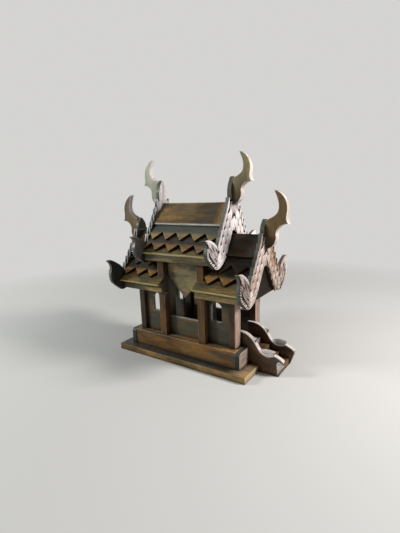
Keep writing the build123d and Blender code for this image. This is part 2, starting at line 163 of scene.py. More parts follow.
def mixed(tree, factor, first, second):
    """Mix two colours, which are sockets or plain colours."""
    mix = tree.nodes.new("ShaderNodeMix")
    mix.data_type = "RGBA"
    for socket, value in ((mix.inputs[0], factor), (mix.inputs[6], first), (mix.inputs[7], second)):
        if isinstance(value, bpy.types.NodeSocket):
            tree.links.new(value, socket)
        elif isinstance(value, (int, float)):
            socket.default_value = value
        else:
            socket.default_value = (*value, 1.0)
    return mix.outputs[2]


def ranged(tree, value, low, high, to_low=0.0, to_high=1.0):
    """Map a value's range to another, clamped."""
    node = add_node(tree, "ShaderNodeMapRange", {
        "Value": value, "From Min": low, "From Max": high, "To Min": to_low, "To Max": to_high})
    return node.outputs[0]


def noise_of(tree, vector, scale, detail, roughness, distortion=0.0):
    """A noise of a scale, in features a metre."""
    return add_node(tree, "ShaderNodeTexNoise", {
        "Vector": vector, "Scale": scale, "Detail": detail, "Roughness": roughness,
        "Distortion": distortion}).outputs[0]


def multiplied(tree, first, second):
    """The product of two values."""
    node = add_node(tree, "ShaderNodeMath", {0: first, 1: second}, operation="MULTIPLY")
    return node.outputs[0]


# How long the grain and the worn patches run along each axis, against how wide they are
GRAIN_SCALES = {"X": (1.0, 9.0, 9.0), "Y": (9.0, 1.0, 9.0), "Z": (9.0, 9.0, 1.0)}
PATCH_SCALES = {"X": (0.6, 2.2, 2.2), "Y": (2.2, 0.6, 2.2), "Z": (2.2, 2.2, 0.6)}
ARRIS_WEAR = 2.6 * MM
BROAD_WEAR = 3.0 * MM
CREST_WEAR = 1.2 * MM
# How far the painted shade of corners and cuts reaches
BOARD_SHADE_REACH = 16 * MM
CUT_SHADE_REACH = 6 * MM
GRAIN_RELIEF = 0.6 * MM
# Colours of the carving between its pale high parts and its dark ground
RUBBED_BROWN = (0.25, 0.135, 0.065)
OPEN_GRAIN = (0.060, 0.036, 0.026)
SLOPE_DARK = (0.075, 0.042, 0.026)
SLOPE_TAN = (0.34, 0.22, 0.15)
# Where the front leg's colour turns into the back leg's, along Y
LEG_CHANGE = (-30 * MM, 40 * MM)


def new_material(name):
    """A new material, with its node tree, its shader and its object coordinates."""
    material = bpy.data.materials.new(name)
    material.use_nodes = True
    tree = material.node_tree
    place = tree.nodes.new("ShaderNodeTexCoord").outputs["Object"]
    return material, tree, tree.nodes["Principled BSDF"], place


def shifted(tree, place, shift, scales):
    """Coordinates that are stretched along the grain, and shifted so that no two woods match."""
    return add_node(tree, "ShaderNodeMapping", {
        "Vector": place, "Location": shift, "Scale": scales}).outputs[0]


def edge_wear(tree, radius):
    """How near a point is to an edge: 1 on the edge, 0 on the flat."""
    rounded = add_node(tree, "ShaderNodeBevel", {"Radius": radius}, samples=6)
    surface = tree.nodes.new("ShaderNodeNewGeometry")
    turned = add_node(tree, "ShaderNodeVectorMath", {
        0: rounded.outputs[0], 1: surface.outputs["Normal"]}, operation="DOT_PRODUCT")
    return ranged(tree, turned.outputs["Value"], 0.995, 0.86)


def painted_corner_shade(tree, reach, low, high):
    """How much painted shade a point gets: 1 deep in a corner or a cut, 0 in the open."""
    shelter = add_node(tree, "ShaderNodeAmbientOcclusion", {"Distance": reach}, samples=8)
    return ranged(tree, shelter.outputs["AO"], high, low)


def lacquer(tree, shader, fibre, relief, rough, coat, coat_rough, bump):
    """Finish a wood with a thin lacquer, whose roughness follows the fibre, over raised grain."""
    tree.links.new(ranged(tree, fibre, 0.3, 0.7, *rough), shader.inputs["Roughness"])
    shader.inputs["Coat Weight"].default_value = coat
    shader.inputs["Coat Roughness"].default_value = coat_rough
    raised = add_node(tree, "ShaderNodeBump", {
        "Strength": bump, "Distance": GRAIN_RELIEF, "Height": relief})
    tree.links.new(raised.outputs[0], shader.inputs["Normal"])


def teak(name, along, offset, light, gold=0.5, sheen_share=0.35, edge=None, wear=ARRIS_WEAR, foot=None,
         worn=None, corner_shade=1.0, shine=0.18, tip=None):
    """A stained and lacquered teak with its grain along X, Y or Z.

    offset shifts its pattern, light is the colour of the broad grain, gold how much of it has worn
    to golden wood, sheen_share how much dull wax and painted cool sheen lies on it, edge the colour of
    its rubbed edges and wear how wide they are. foot is another light and gold for low down, the
    height where they end and where the first begin, and X where that is measured along X instead.
    worn is the colour of the worn wood, if not golden, corner_shade how dark the painted shade in
    corners and under other boards is, and shine how glossy it is. tip is where along X a board starts
    to turn to its worn colour, and where it has turned.
    """
    wood = bpy.context.scene.spirit_house_wood
    material, tree, shader, place = new_material(name)
    worn = worn or wood.golden_wood
    stretch = shifted(tree, place, (offset, 0.7 * offset, 0.4 * offset), GRAIN_SCALES[along])
    blotch = shifted(tree, place, (offset, offset, offset), PATCH_SCALES[along])

    # The noises lie about 0.5, so a pair of thresholds says how much of the wood a feature covers
    figure = noise_of(tree, stretch, 11.0, 5.0, 0.6, 1.0)
    fibre = noise_of(tree, stretch, 60.0, 5.0, 0.65)
    pores = noise_of(tree, stretch, 130.0, 2.0, 0.5)
    patches = noise_of(tree, blotch, 12.0, 3.0, 0.6)
    cloud = noise_of(tree, blotch, 27.0, 3.0, 0.65)

    axes = add_node(tree, "ShaderNodeSeparateXYZ", {"Vector": place}).outputs
    if foot:
        low_light, low_gold, start, stop, *axis = foot
        height = axes[axis[0] if axis else "Z"]
        light = mixed(tree, ranged(tree, height, start, stop), low_light, light)
        gold = ranged(tree, height, start, stop, low_gold, gold)
    shade = mixed(tree, 0.45, wood.dark_stain, light)
    grain = mixed(tree, ranged(tree, figure, 0.33, 0.60), shade, light)
    golden = multiplied(tree, ranged(tree, patches, 0.44, 0.64, 0.08, 1.0),
                        ranged(tree, fibre, 0.34, 0.60, 0.35, 1.0))
    golden = multiplied(tree, golden, gold)
    grain = mixed(tree, golden, grain, worn)
    if tip:
        tip_share = multiplied(tree, ranged(tree, axes["X"], *tip),
                          ranged(tree, fibre, 0.34, 0.60, 0.35, 0.95))
        grain = mixed(tree, tip_share, grain, worn)
    # Dull wax and a painted cool sheen, in patches
    grain = mixed(tree, ranged(tree, cloud, 0.44, 0.62, 0.0, sheen_share), grain, wood.wax_and_sheen)
    grain = mixed(tree, ranged(tree, pores, 0.40, 0.34, 0.0, 0.5), grain, shade)
    rubbed = multiplied(tree, edge_wear(tree, wear), ranged(tree, cloud, 0.34, 0.56, 0.25, 1.0))
    grain = mixed(tree, rubbed, grain, edge or wood.golden_wood)
    # Painted shade: corners and places under other boards darken to the dark stain
    sheltered = multiplied(tree, painted_corner_shade(tree, BOARD_SHADE_REACH, 0.28, 0.88), corner_shade)
    grain = mixed(tree, sheltered, grain, wood.dark_stain)
    tree.links.new(grain, shader.inputs["Base Color"])
    shader.inputs["Specular IOR Level"].default_value = shine
    lacquer(tree, shader, fibre, mixed(tree, 0.5, fibre, pores), (0.34, 0.52), 0.05, 0.28, 0.35)
    return material


def carved_teak(name, face_x, offset, pale, gold, back_gold, reach, veins):
    """Carved wood: pale where hands and cloths have rubbed the high parts, dark down in the cuts,
    and darker still with painted shade where the cuts are sheltered.

    face_x is how far out the carving's face is, and offset shifts the pattern. pale is the colour of
    the high parts, and gold and back_gold how much golden wood shows between them on the front leg
    and on the back one. reach is how deep the rubbing goes, as a share of the carving's depth, and
    veins how dark the open grain is.
    """
    wood = bpy.context.scene.spirit_house_wood
    depth = bpy.context.scene.spirit_house_carving.ground_depth
    material, tree, shader, place = new_material(name)
    stretch = shifted(tree, place, (offset, offset, offset), GRAIN_SCALES["Z"])
    axes = add_node(tree, "ShaderNodeSeparateXYZ", {"Vector": place}).outputs
    out = add_node(tree, "ShaderNodeMath", {0: axes["X"]}, operation="ABSOLUTE").outputs[0]

    def risen(low, high, most=1.0):
        """How far a point has risen between two depths, given as shares of the carving's depth."""
        return ranged(tree, out, face_x - low * depth, face_x - high * depth, 0.0, most)

    fibre = noise_of(tree, stretch, 46.0, 5.0, 0.65)
    figure = noise_of(tree, stretch, 9.0, 4.0, 0.6, 0.8)
    cloud = noise_of(tree, place, 30.0, 3.0, 0.6)
    gold = ranged(tree, axes["Y"], *LEG_CHANGE, gold, back_gold)

    plain = mixed(tree, ranged(tree, figure, 0.36, 0.64), wood.dark_stain, wood.brown_stain)
    # The sides get dull wax and a painted cool sheen
    sides = mixed(tree, ranged(tree, cloud, 0.4, 0.6, 0.3, 0.8), plain, wood.side_wax_and_sheen)
    ground = mixed(tree, risen(1.15, 1.02), sides, wood.dark_stain)
    slope = mixed(tree, ranged(tree, fibre, 0.36, 0.62), SLOPE_DARK, SLOPE_TAN)
    ground = mixed(tree, risen(reach + 0.26, reach + 0.12), ground, slope)

    streaks = multiplied(tree, ranged(tree, fibre, 0.42, 0.66, 0.0, 0.6), gold)
    rubbed = mixed(tree, streaks, pale, wood.golden_wood)
    rubbed = mixed(tree, multiplied(tree, ranged(tree, cloud, 0.43, 0.60), gold), rubbed, RUBBED_BROWN)
    rubbed = mixed(tree, ranged(tree, fibre, 0.43, 0.36, 0.0, veins), rubbed, OPEN_GRAIN)
    tone = mixed(tree, risen(reach, reach - 0.34), ground, rubbed)
    # Painted shade in the sheltered cuts
    tone = mixed(tree, painted_corner_shade(tree, CUT_SHADE_REACH, 0.52, 0.92), tone, wood.dark_stain)
    tone = mixed(tree, multiplied(tree, edge_wear(tree, CREST_WEAR), risen(0.7, 0.3, 0.8)), tone, pale)
    tree.links.new(tone, shader.inputs["Base Color"])
    lacquer(tree, shader, fibre, fibre, (0.36, 0.55), 0.08, 0.32, 0.4)
    return material


# ------------------------------------------------------------------ shared modelling

def finished(bm, name, materials, nodes):
    """Write a bmesh to a new piece that stands for its CAD nodes."""
    bmesh.ops.recalc_face_normals(bm, faces=bm.faces)
    mesh = bpy.data.meshes.new(name)
    bm.to_mesh(mesh)
    bm.free()
    for material in materials:
        mesh.materials.append(material)
    mesh.polygons.foreach_set("use_smooth", [True] * len(mesh.polygons))
    mesh.set_sharp_from_angle(angle=SMOOTH_ANGLE)
    piece = bpy.data.objects.new(name, mesh)
    bpy.context.scene.collection.objects.link(piece)
    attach(piece, "root")
    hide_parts(*nodes)
    return piece


def clean_copy(node):
    """A bmesh copy of a CAD node, with its doubles merged and its flat faces joined."""
    bm = bmesh.new()
    bm.from_mesh(NODES[node].data)
    bmesh.ops.remove_doubles(bm, verts=bm.verts, dist=MERGE_DISTANCE)
    bmesh.ops.dissolve_limit(bm, angle_limit=FLAT_ANGLE, verts=bm.verts, edges=bm.edges)
    return bm


def soften(bm, radius, segments=2, above=None):
    """Round every sharp edge of a bmesh, or only those that reach above a height."""
    arrises = [e for e in bm.edges if e.is_manifold and e.calc_face_angle() > CORNER_ANGLE
               and (above is None or max(v.co.z for v in e.verts) > above)]
    bmesh.ops.bevel(bm, geom=arrises, offset=radius, offset_type="OFFSET", affect="EDGES",
                    segments=segments, profile=0.5, material=-1, clamp_overlap=True)


def join_copy(bm, other):
    """Add a copy of another bmesh."""
    mesh = bpy.data.meshes.new("part")
    other.to_mesh(mesh)
    bm.from_mesh(mesh)
    bpy.data.meshes.remove(mesh)


def dress(nodes, materials, radius, segments=2, choose=None, reshape=None, above=None):
    """Make a softened piece for each CAD node.

    choose says which material a face gets, reshape changes the copy of the board before its edges
    are rounded, and above is the height that an edge has to reach to be rounded.
    """
    for node in nodes:
        bm = clean_copy(node)
        if reshape:
            reshape(bm, node)
        soften(bm, radius, segments, above)
        if choose:
            for face in bm.faces:
                face.material_index = choose(face)
        piece = finished(bm, "worn_" + node, materials, [node])
        piece.modifiers.new("even_faces", "WEIGHTED_NORMAL").keep_sharp = True


# How much of a face's normal has to point one way, for the face to look that way
FACING = 0.6
FACING_UP = 0.7


def looks_along(face):
    """1 for a face that looks along X, to either end of the house."""
    return int(abs(face.normal.x) > FACING)


def looks_out(face):
    """1 for a face that looks along X and out of the house."""
    return int(face.normal.x * face.calc_center_median().x > 0 and looks_along(face))


def looks_up(face):
    """1 for a face that looks up."""
    return int(face.normal.z > FACING_UP)


def looks_up_or_right(face):
    """1 for a face that looks up or to the right."""
    return int(max(face.normal.z, face.normal.x) > FACING_UP)


def roof_side(face):
    """0 for a roof board's upper face, 1 for its lower edge and 2 for its underside."""
    if face.normal.z > -0.1:
        return 0
    return 1 if face.normal.y * face.calc_center_median().y > 0 else 2


def paint(nodes, material):
    """Give CAD nodes that keep their own shape a material."""
    for node in nodes:
        data = NODES[node].data
        data.materials.clear()
        data.materials.append(material)


# ------------------------------------------------------------------ boards

# Where the base board's top turns from its painted shade to the painted light of its end, along X
TOP_SHADE_TO_LIGHT = (165 * MM, 208 * MM)


class SPIRITHOUSE_OT_base(bpy.types.Operator):
    """Dress the base board and the plinth"""
    bl_idname = "spirit_house.base"
    bl_label = "Base and plinth"

    def execute(self, context):
        wood = context.scene.spirit_house_wood
        along = teak("base_teak_long", "X", 0.0, wood.brown_stain, gold=0.75, edge=(0.60, 0.58, 0.45))
        rim = teak("base_teak_rim", "X", 1.0, (0.085, 0.052, 0.021), gold=0.9,
                   edge=(0.62, 0.44, 0.18), worn=(0.42, 0.25, 0.07))
        # Painted shade and light: the top is dark along most of the board and pale at its end over the
        # stair
        top = teak("base_teak_top_shade_and_light", "X", 2.0, (0.30, 0.21, 0.11), gold=0.8, edge=(0.50, 0.34, 0.14),
                   foot=((0.019, 0.020, 0.016), 0.16, *TOP_SHADE_TO_LIGHT, "X"))
        # Painted light: the base board's ends are paler than its sides, as if lit
        end = teak("base_teak_lit_end_face", "Y", 5.0, (0.46, 0.36, 0.21), gold=0.4, sheen_share=0.1,
                   edge=(0.66, 0.55, 0.38))
        side = teak("base_teak_side", "X", 4.0, (0.030, 0.040, 0.038), gold=0.1,
                    edge=(0.20, 0.24, 0.22))
        # Painted light: the plinth ends' faces along X are paler than their other faces, as if lit
        across = teak("base_teak_end", "Y", 3.0, (0.33, 0.25, 0.21), gold=0.3, sheen_share=0.2,
                      edge=(0.55, 0.46, 0.40))
        dress(["base_board"], [rim, top, end], wood.board_arris,
              choose=lambda face: looks_up(face) or 2 * looks_along(face))
        dress(["plinth_front", "plinth_back"], [along], wood.board_arris)
        dress(["plinth_end_left", "plinth_end_right"], [side, across],
              wood.board_arris, choose=looks_along)
        paint(["floor_board"], along)
        return {"FINISHED"}


class SPIRITHOUSE_OT_posts(bpy.types.Operator):
    """Dress the corner posts and the middle posts"""
    bl_idname = "spirit_house.posts"
    bl_label = "Posts"

    def execute(self, context):
        wood = context.scene.spirit_house_wood
        upright = teak("post_teak", "Z", 5.0, (0.036, 0.022, 0.012), gold=0.36)
        # Painted light: the corner posts' outer faces are paler, as if lit
        outer = teak("post_teak_lit_outer", "Z", 6.0, (0.37, 0.265, 0.235), gold=0.3, sheen_share=0.1)
        dress(["corner_posts_front", "corner_posts_back"], [upright, outer],
              wood.post_arris, 3, choose=looks_out)
        dress(["mid_posts_front", "mid_posts_back"], [upright], wood.post_arris, 3)
        return {"FINISHED"}


class SPIRITHOUSE_OT_walls(bpy.types.Operator):
    """Dress the window walls, panels, valances and inner walls"""
    bl_idname = "spirit_house.walls"
    bl_label = "Walls"

    def execute(self, context):
        wood = context.scene.spirit_house_wood
        wall = teak("wall_teak_boards", "X", 7.0, (0.058, 0.053, 0.034), gold=0.35, sheen_share=0.7,
                    edge=(0.24, 0.27, 0.24))
        panel = teak("panel_teak", "X", 9.0, (0.085, 0.072, 0.040), gold=0.75, sheen_share=0.6,
                     edge=(0.34, 0.36, 0.30), wear=BROAD_WEAR)
        # Painted light: faces that look up, and the windows' faces that look right, are pale, as if lit
        lit_tops = teak("sill_teak", "X", 8.0, (0.46, 0.45, 0.42), gold=0.1, sheen_share=0.3,
                    edge=(0.62, 0.60, 0.56), corner_shade=0.3)
        tongue = teak("valance_teak", "X", 10.0, (0.150, 0.135, 0.078), gold=1.0, sheen_share=0.6,
                      edge=(0.34, 0.29, 0.17), worn=(0.40, 0.29, 0.12))
        rows = ("front", "back")
        windows = ["window_wall_" + row + "_" + end for row in rows for end in ("left", "right")]
        for nodes, materials, choose in (
                (windows, [wall, lit_tops], looks_up_or_right),
                (["cross_wall_left", "cross_wall_right"], [wall], None),
                (["low_panel_" + row for row in rows], [panel, lit_tops], looks_up),
                (["valance_" + row for row in rows], [tongue], None)):
            dress(nodes, materials, wood.board_arris, choose=choose)
        return {"FINISHED"}


OLIVE_WOOD = (0.46, 0.32, 0.11)
ORANGE_WOOD = (0.44, 0.20, 0.045)
BROWN_WOOD = (0.20, 0.10, 0.04)
# How far over a board's lower edge its foot's colour ends and its own begins. On the eave boards
# and the main ridge boards the foot is a painted highlight along the edge
TOOTH_FADE = (16 * MM, 24 * MM)
RIM_FADE = (3.5 * MM, 6.5 * MM)
RIDGE_HIGHLIGHT_FADE = (4.2 * MM, 7.0 * MM)
# How far from the end over the stair the main ridge boards start to turn golden, and are golden
RIDGE_TIP = (30 * MM, 8 * MM)
# Each roof's rows of boards: a name, the ends of its nodes' names, its colour and gold, the colour
# and gold of its foot, where they change, and the colours of its rubbed edges and its worn wood.
# The pale feet of the eave boards and the main ridge boards are painted highlights, and the near
# black of the main lower teeth above their feet, and of the wing's toothed and ridge boards, is
# painted shade
MAIN_ROOF = (
    ("eave", ("eave_boards",), (0.044, 0.036, 0.020), 0.5, (0.56, 0.46, 0.20), 0.3, RIM_FADE,
     (0.60, 0.50, 0.23), OLIVE_WOOD),
    ("lower", ("lower_teeth",), (0.020, 0.015, 0.010), 0.1, (0.205, 0.118, 0.042), 1.0, TOOTH_FADE,
     (0.48, 0.31, 0.12), ORANGE_WOOD),
    ("upper", ("upper_teeth",), (0.072, 0.080, 0.068), 0.1, (0.190, 0.138, 0.066), 0.9, TOOTH_FADE,
     (0.50, 0.42, 0.26), (0.42, 0.28, 0.10)),
    ("ridge", ("ridge_board_front", "ridge_board_back"), (0.062, 0.037, 0.018), 0.75,
     (0.74, 0.75, 0.68), 0.0, RIDGE_HIGHLIGHT_FADE, (0.50, 0.48, 0.42), (0.36, 0.21, 0.06)),
)
# Painted shade: the wing roof's toothed and ridge boards are near black
WING_ROOF = (
    ("eave", ("eave_boards",), (0.085, 0.072, 0.036), 0.8, (0.46, 0.37, 0.16), 0.3, RIM_FADE,
     (0.56, 0.46, 0.20), (0.42, 0.25, 0.07)),
    ("lower", ("lower_teeth",), (0.012, 0.009, 0.006), 0.1, (0.130, 0.075, 0.030), 0.9, TOOTH_FADE,
     (0.40, 0.24, 0.08), ORANGE_WOOD),
    ("upper", ("upper_teeth",), (0.013, 0.009, 0.006), 0.1, (0.022, 0.013, 0.007), 0.2, TOOTH_FADE,
     (0.09, 0.06, 0.035), BROWN_WOOD),
    ("ridge", ("ridge_boards_front", "ridge_boards_back"), (0.025, 0.014, 0.008), 0.35,
     (0.050, 0.044, 0.034), 0.1, RIM_FADE, (0.10, 0.085, 0.06), BROWN_WOOD),
)


class SPIRITHOUSE_OT_roofs(bpy.types.Operator):
    """Dress the eave boards, toothed boards and ridge boards"""
    bl_idname = "spirit_house.roofs"
    bl_label = "Roofs"

    def execute(self, context):
        wood = context.scene.spirit_house_wood
        # Painted highlights: the lower edges of the eave boards and the main ridge boards are pale
        gold_highlight_rim = teak("roof_teak_gold_highlight_rim", "X", 11.0, (0.56, 0.48, 0.20), gold=0.5, sheen_share=0.15,
                        edge=(0.66, 0.58, 0.28), worn=(0.66, 0.50, 0.18), corner_shade=0.15)
        pale_highlight_rim = teak("roof_teak_pale_highlight_rim", "X", 12.0, (0.80, 0.82, 0.75), gold=0.05, sheen_share=0.05,
                        edge=(0.86, 0.86, 0.80), corner_shade=0.1)
        rims = {("main", "eave"): gold_highlight_rim, ("wing", "eave"): gold_highlight_rim, ("main", "ridge"): pale_highlight_rim}
        # Painted shade: the undersides of the roof boards, and the lower edges of the other rows, are near
        # black
        under = teak("roof_teak_under_shade", "X", 13.0, (0.016, 0.011, 0.007), gold=0.1, sheen_share=0.1,
                     shine=0.05)
        for place, offset, shine, rows in (
                ("main", 14.0, 0.18, MAIN_ROOF), ("wing", 20.0, 0.08, WING_ROOF)):
            for k, (row, nodes, light, gold, foot_light, foot_gold, fade, edge, worn) in enumerate(rows):
                low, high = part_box(place + "_" + nodes[0])
                foot = (foot_light, foot_gold, low.z + fade[0], low.z + fade[1])
                tip = None
                if (place, row) == ("main", "ridge"):
                    tip = (high.x - RIDGE_TIP[0], high.x - RIDGE_TIP[1])
                face = teak("roof_teak_" + place + "_" + row, "X", offset + k, light, gold=gold,
                            edge=edge, wear=BROAD_WEAR, foot=foot, worn=worn, corner_shade=1.5, shine=shine,
                            tip=tip)
                dress([place + "_" + node for node in nodes],
                      [face, rims.get((place, row), under), under],
                      wood.board_arris, choose=roof_side)
        return {"FINISHED"}


class SPIRITHOUSE_OT_beams(bpy.types.Operator):
    """Dress the eave beams and paint the pediments"""
    bl_idname = "spirit_house.beams"
    bl_label = "Beams and pediments"

    def execute(self, context):
        wood = context.scene.spirit_house_wood
        beam = teak("beam_teak", "X", 13.0, (0.072, 0.058, 0.034), gold=1.0,
                    edge=(0.46, 0.37, 0.18), wear=BROAD_WEAR, worn=OLIVE_WOOD)
        dress(["main_eave_beams", "wing_eave_beams_front", "wing_eave_beams_back"], [beam],
              wood.post_arris, 3)
        # Painted shade: the pediments are near black, as if in deep shade
        gable = teak("pediment_teak_shade", "Y", 17.0, (0.009, 0.007, 0.006), gold=0.02, sheen_share=0.05,
                     shine=0.02)
        paint(["main_pediments", "wing_pediments"], gable)
        return {"FINISHED"}


# ------------------------------------------------------------------ carved gables

# The half width of the seat that the horn and the leaf stand on, and how its end is cut: how far
# out and how far under the top
SEAT_HALF_WIDTH = 25 * MM
SEAT_END = ((20 * MM, 0.0), (21 * MM, 6 * MM))
# The hook's nose, in from the board's outer edge and up from its lower edge, then the notch where
# the leg's flames end and the elbow of its inner edge, both measured from the nose
HOOK_REACH = 40 * MM
HOOK_DROP = 34 * MM
NOTCH_IN = 20 * MM
NOTCH_UP = 30 * MM
ELBOW_IN = 62 * MM
ELBOW_DOWN = 2 * MM
# How high the main roof's hooks rise over the nose, against the wing roofs' hooks
MAIN_RISE = 46 / 62
# The hook's edges in millimetres out and up from the nose: from the beak round the belly to the
# bottom, from there back to the elbow, and from the notch up to the beak
HOOK_BELLY = ((39.5, 63), (33, 57.5), (28.5, 50), (27, 42), (29, 32), (31.5, 22), (31, 8), (26, -3),
              (16, -13.5), (5, -22.5), (-6, -31.5))
HOOK_UNDER = ((-6, -31.5), (-16, -32.5), (-30, -28.5), (-43, -20.5), (-54, -10.5), (-62, -2))
HOOK_CREST = ((-24, 17), (-21, 28), (-15, 37.5), (-5, 46.5), (6, 54), (18, 60), (30, 63.5), (39.5, 63))
# How far the top flame stands over the seat, how far a flame bulges under its tip, and how the last
# one ends
TOP_FLAME = Vector((-0.5 * MM, 4 * MM))
FLAME_BULGE = 2.6 * MM
LAST_FLAME = Vector((3 * MM, -10 * MM))
# Half widths of the carved leaves, as shares, at shares of their length from the tip
SCALE_WIDTHS = ((0.0, 0.05), (0.08, 0.40), (0.20, 0.78), (0.36, 1.0), (1.0, 0.92))
FLAME_WIDTHS = ((0.0, 0.04), (0.14, 0.34), (0.38, 0.72), (0.7, 1.0), (1.0, 0.75))
LEAF_THICKNESS = 3.0 * MM
VEIN_DEPTH = 0.16
VEIN_WIDTH = 0.2
# The flutes under the horn: how many there are on a half, how far apart, how far the first one's
# tip lies under the top and how much lower each next one's does, their length and width, and the
# degrees that each leans more than the last
FLUTE_COUNT = 4
FLUTE_PITCH = 5.4 * MM
FLUTE_DROP = (4, 1.2)
FLUTE_SIZE = (34 * MM, 5.6 * MM)
FLUTE_LEAN = 2.0
# The scales where the legs meet: how far out, how far under the top, and their lean in degrees
PEAK_SCALES = ((0.0, 46 * MM, 0), (15.5 * MM, 27 * MM, 10))
FLAME_SIZE = (33 * MM, 9.4 * MM)
# The leg's plain margins, on the outer edge and on both edges together
OUTER_MARGIN = 9 * MM
BOTH_MARGINS = 13 * MM
# No scale's tip lies nearer the middle, or less far under the top
SCALE_CLEARANCE = (8 * MM, 22 * MM)
# How far the columns of scales run on past the notch
SCALE_OVERRUN = 14 * MM
# Places on the hook, as shares of the way from its rim (0) to its crest (1): the broad beds, the
# first streak and how far the streaks spread from it, the smooth band, the inner borders and the rim
BED_SHARES = (0.36, 0.56, 0.76)
STREAK_SHARES = (0.30, 0.54)
BAND_SHARE = 0.93
BORDER_SHARES = (0.14, 0.22)
RIM_SHARE = 0.04
# The comb on the belly: how many teeth, where the first starts and how far they run along the rim
COMB_COUNT = 11
COMB_START = 0.37
COMB_RUN = 0.42


def smooth_line(points, steps):
    """A smooth line through points, with so many steps between each two."""
    ends = [2 * points[0] - points[1], *points, 2 * points[-1] - points[-2]]
    line = []
    for before, start, stop, after in zip(ends, ends[1:], ends[2:], ends[3:]):
        for k in range(steps):
            t = k / steps
            line.append(0.5 * (2 * start + (stop - before) * t
                               + (2 * before - 5 * start + 4 * stop - after) * t * t
                               + (3 * start - before - 3 * stop + after) * t ** 3))
    return line + [points[-1]]


class Gable:
    """The lines of one bargeboard's half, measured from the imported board: y outwards, z up."""

    def __init__(self, node):
        low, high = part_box(node)
        self.hand = 1 if low.x > 0 else -1
        self.inner_x = min(abs(low.x), abs(high.x))
        self.face_x = max(abs(low.x), abs(high.x))
        self.seat = Vector((SEAT_HALF_WIDTH, high.z))
        self.nose = Vector((high.y - HOOK_REACH, low.z + HOOK_DROP))
        foot = self.nose + Vector((-NOTCH_IN, NOTCH_UP))
        slope = (self.seat.y - foot.y) / (foot.x - self.seat.x)
        self.foot = foot
        self.elbow = self.nose + Vector((-ELBOW_IN, -ELBOW_DOWN))
        self.inner_peak = Vector((0.0, self.elbow.y + slope * self.elbow.x))
        self.rise = MAIN_RISE if "main" in node else 1.0

    def hook_line(self, places):
        """A smooth edge of the hook. What lies over the nose is scaled by the roof's rise."""
        return smooth_line([self.nose + Vector((y * MM, z * MM * (self.rise if z > 0 else 1.0)))
                            for y, z in places], 4)

    def flame_tips(self, count):
        """The tips of the flames from the seat down the leg, and the step from tip to tip."""
        step = (self.foot - self.seat) / count
        tips = [self.seat + step * k for k in range(count)]
        tips[0] = tips[0] + TOP_FLAME
        return tips, step

    def outline(self, count, free):
        """The half outline, from the middle of the seat round the hook to the inner peak."""
        tips, step = self.flame_tips(count)
        fall = step.y - free
        points = [Vector((0.0, self.seat.y))]
        points += [Vector((y, self.seat.y - drop)) for y, drop in SEAT_END]
        for tip in tips[:-1]:
            points += [tip, tip + Vector((FLAME_BULGE, 0.35 * fall)),
                       tip + Vector((0.5 * step.x, 0.75 * fall)), tip + Vector((0.55 * step.x, fall))]
        points += [tips[-1], tips[-1] + LAST_FLAME]
        points += self.hook_line(HOOK_CREST)[:-1] + self.hook_line(HOOK_BELLY)[:-1]
        return points + self.hook_line(HOOK_UNDER) + [self.inner_peak]


def extruded_outline(points, inner_x, outer_x):
    """A board with a closed outline in Y and Z, mirrored in Y, between two depths."""
    bm = bmesh.new()
    half = [bm.verts.new((inner_x, p.x, p.y)) for p in points]
    other = [bm.verts.new((inner_x, -p.x, p.y)) for p in points[1:-1]]
    face = bm.faces.new(half + other[::-1])
    grown = bmesh.ops.extrude_face_region(bm, geom=[face])
    moved = [v for v in grown["geom"] if isinstance(v, bmesh.types.BMVert)]
    bmesh.ops.translate(bm, verts=moved, vec=(outer_x - inner_x, 0, 0))
    bmesh.ops.recalc_face_normals(bm, faces=bm.faces)
    return bm


def width_share(widths, along):
    """Half width of a leaf, as a share, at a share of its length from the tip."""
    for (a, wa), (b, wb) in zip(widths, widths[1:]):
        if a <= along <= b:
            return wa + (wb - wa) * (along - a) / (b - a)
    return widths[-1][1]


def add_leaf(bm, widths, tip, length, width, lean, base_x, rise, bend=0.0, sink=0.62):
    """Add one pointed leaf with a crowned face and a vein.

    Its tip stands rise proud of base_x, and its root is sunk by a share of that. lean turns it about
    the X axis, in degrees, and bend is how far its root is drawn aside.
    """
    grid = bmesh.ops.create_grid(bm, x_segments=8, y_segments=10, size=1.0)
    turn = math.radians(lean)
    for v in grid["verts"]:
        across, along = v.co.x, (v.co.y + 1) / 2
        y = across * width_share(widths, along) * width / 2 + bend * along * along
        z = -along * length
        crown = 1 - 0.5 * across ** 4 - VEIN_DEPTH * math.exp(-(across / VEIN_WIDTH) ** 2)
        height = rise * (1.0 - sink * along) * crown
        v.co = (base_x + height, tip.x + y * math.cos(turn) - z * math.sin(turn),
                tip.y + y * math.sin(turn) + z * math.cos(turn))
    faces = list({f for v in grid["verts"] for f in v.link_faces})
    bmesh.ops.recalc_face_normals(bm, faces=faces)
    if sum(f.normal.x for f in faces) < 0:
        bmesh.ops.reverse_faces(bm, faces=faces)
    grown = bmesh.ops.extrude_face_region(bm, geom=faces, use_keep_orig=True)["geom"]
    backs = [v for v in grown if isinstance(v, bmesh.types.BMVert)]
    bmesh.ops.translate(bm, verts=backs, vec=(-LEAF_THICKNESS, 0, 0))


